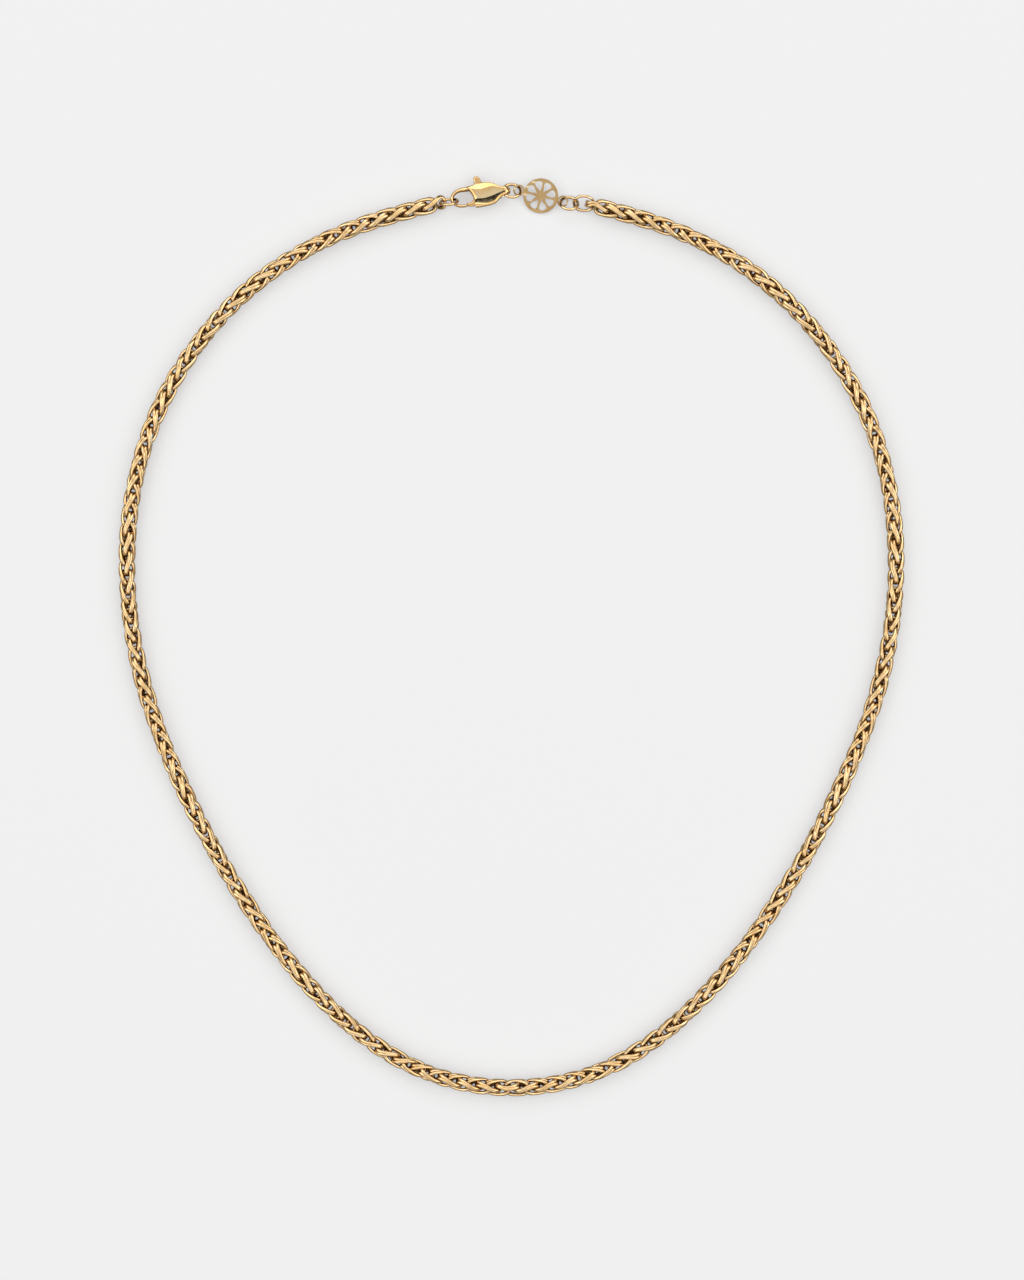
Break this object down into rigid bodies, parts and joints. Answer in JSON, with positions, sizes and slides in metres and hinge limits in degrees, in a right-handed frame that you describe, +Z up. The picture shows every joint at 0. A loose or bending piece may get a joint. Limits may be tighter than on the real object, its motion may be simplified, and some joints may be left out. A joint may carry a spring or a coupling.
{
  "type": "wheat chain necklace",
  "caption": "Gold-coloured wheat chain necklace lying as one closed loop, with a lobster clasp hooked to an end ring, jump rings and a small round pierced tag with two lugs.",
  "frame": {"origin": "on the surface the necklace lies on, under the middle of its bounding box", "axes": "+Z up from the surface, +Y towards the clasp, +X to the right as worn side up is seen from above; the loop is longest along Y"},
  "size_m": [0.1668, 0.1953, 0.004],
  "materials": {
    "chain_gold": "polished gold plating on round wire",
    "ring_gold": "polished gold plating",
    "clasp_gold": "polished gold plating on cast metal",
    "tag_gold": "fine satin gold plating on sheet"
  },
  "bodies": {
    "necklace": {"wheat_chain": "chain_gold", "end_ring_left": "ring_gold", "clasp_body": "clasp_gold", "clasp_pin": "clasp_gold", "clasp_ring": "ring_gold", "tag": "tag_gold", "tag_ring": "ring_gold", "end_ring_right": "ring_gold"},
    "lever": {"clasp_lever": "clasp_gold"}
  },
  "joints": [
    {"name": "lever_hinge", "type": "hinge", "parent": "necklace", "child": "lever", "pos_m": [-0.00674, 0.09412, 0.0016], "axis": [0, 0, 1], "range_deg": [-28, 0], "stiffness_Nm_per_rad": 0.004}
  ]
}
